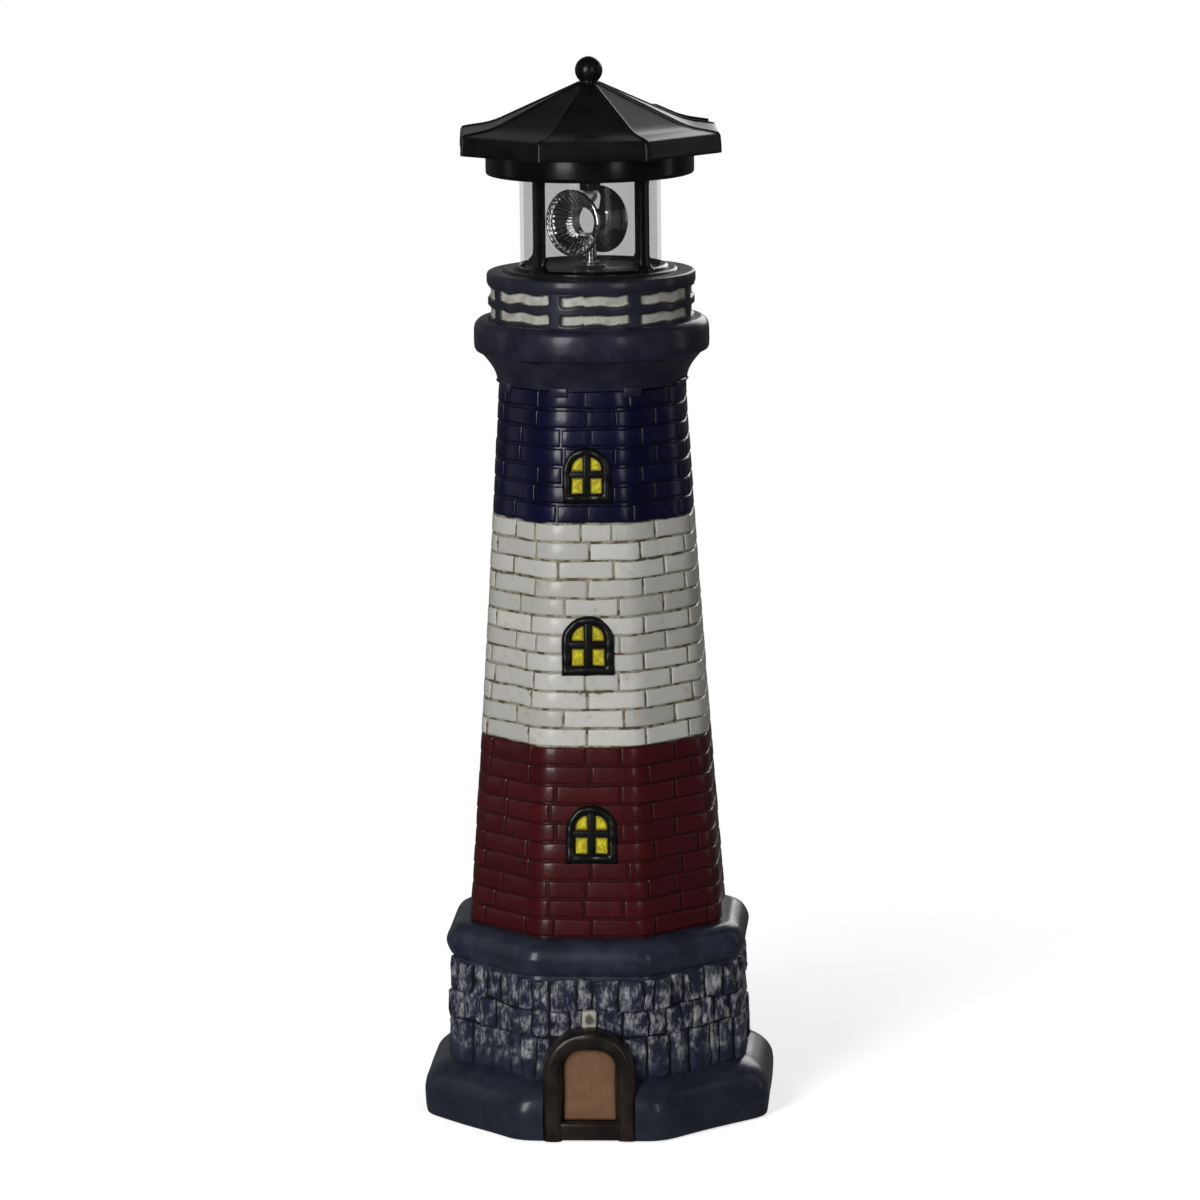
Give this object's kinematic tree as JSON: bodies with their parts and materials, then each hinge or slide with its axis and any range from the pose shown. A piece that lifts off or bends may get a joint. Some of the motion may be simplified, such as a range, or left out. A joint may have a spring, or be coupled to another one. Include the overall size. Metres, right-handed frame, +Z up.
{
  "type": "garden lighthouse ornament",
  "caption": "Painted lighthouse garden ornament with a lift-out solar lantern head, clear lantern tube and a geared turning reflector beacon.",
  "frame": {"origin": "centre of the footprint, on the surface that the rubber pads stand on", "axes": "+Z up, -Y towards the viewer of the door, +X to the right seen from the front"},
  "size_m": [0.118, 0.118, 0.3595],
  "materials": {
    "slate_paint": "glossy varnished slate blue paint with pale dry-brushed stones",
    "banded_paint": "glossy varnished paint in three bands, dark blue over white over dark red",
    "navy_paint": "glossy varnished dark blue paint with cream panels",
    "black_paint": "glossy black paint",
    "yellow_paint": "mottled yellow paint under varnish",
    "brown_paint": "glossy dark brown paint",
    "tan_paint": "tan paint under varnish",
    "grey_board": "plain",
    "pad_rubber": "matte",
    "black_plastic": "moulded, fairly glossy",
    "inner_plastic": "moulded",
    "clear_plastic": "clear moulded tube",
    "cell_face": "dark cell under a clear coat",
    "steel": "plain",
    "bright_steel": "polished",
    "mirror_plate": "bright plating",
    "brass": "turned",
    "gear_plastic": "moulded",
    "board_green": "solder mask",
    "cell_sleeve": "shrink sleeve",
    "wire_red": "insulation",
    "diode_lens": "clear lens",
    "switch_white": "moulded"
  },
  "bodies": {
    "tower": {"base_casting": "slate_paint", "shaft_casting": "banded_paint", "gallery_casting": "navy_paint", "base_cover": "grey_board", "rubber_pads": "pad_rubber", "window_frames": "black_paint", "window_panes": "yellow_paint", "door_surround": "brown_paint", "door_leaf": "tan_paint"},
    "head": {"lantern_floor": "black_plastic", "spindle_bush": "brass", "plug_housing": "inner_plastic", "plug_cover": "inner_plastic", "cover_screws": "steel", "gear_plate": "inner_plastic", "plate_screws": "steel", "idler_pin": "steel", "motor": "steel", "cradle": "inner_plastic", "battery": "cell_sleeve", "cell_contacts": "brass", "switch_body": "inner_plastic", "lantern_cage": "black_plastic", "clear_tube": "clear_plastic", "drum_floor": "black_plastic", "drum_floor_screws": "steel", "drum": "black_plastic", "roof_screws": "steel", "roof_shell": "black_plastic", "finial": "black_plastic", "panel_frame": "black_plastic", "solar_cell": "cell_face", "circuit_board": "board_green", "board_parts": "inner_plastic", "led_holder": "black_plastic", "led": "diode_lens", "leads": "wire_red"},
    "beacon": {"spindle": "bright_steel", "output_gear": "gear_plastic", "reflector": "mirror_plate"},
    "idler": {"idler_gear": "gear_plastic"},
    "rotor": {"motor_shaft": "steel", "motor_pinion": "brass"},
    "switch": {"switch_knob": "switch_white"}
  },
  "joints": [
    {"name": "head_lift", "type": "slide", "parent": "tower", "child": "head", "axis": [0, 0, 1], "range_m": [0, 0.045]},
    {"name": "beacon_spin", "type": "hinge", "parent": "head", "child": "beacon", "pos_m": [0, 0, 0.29], "axis": [0, 0, 1], "continuous": true},
    {"name": "idler_spin", "type": "hinge", "parent": "head", "child": "idler", "pos_m": [-0.0012, 0.01244, 0.281], "axis": [0, 0, 1], "continuous": true},
    {"name": "motor_spin", "type": "hinge", "parent": "head", "child": "rotor", "pos_m": [0.01025, 0.01354, 0.281], "axis": [0, 0, 1], "continuous": true},
    {"name": "power_switch", "type": "slide", "parent": "head", "child": "switch", "axis": [0.9954, 0.0958, 0], "range_m": [0, 0.003]}
  ],
  "couplings": [
    {"joint": "idler_spin", "follows": "beacon_spin", "ratio": -4},
    {"joint": "motor_spin", "follows": "beacon_spin", "ratio": 14.4}
  ]
}
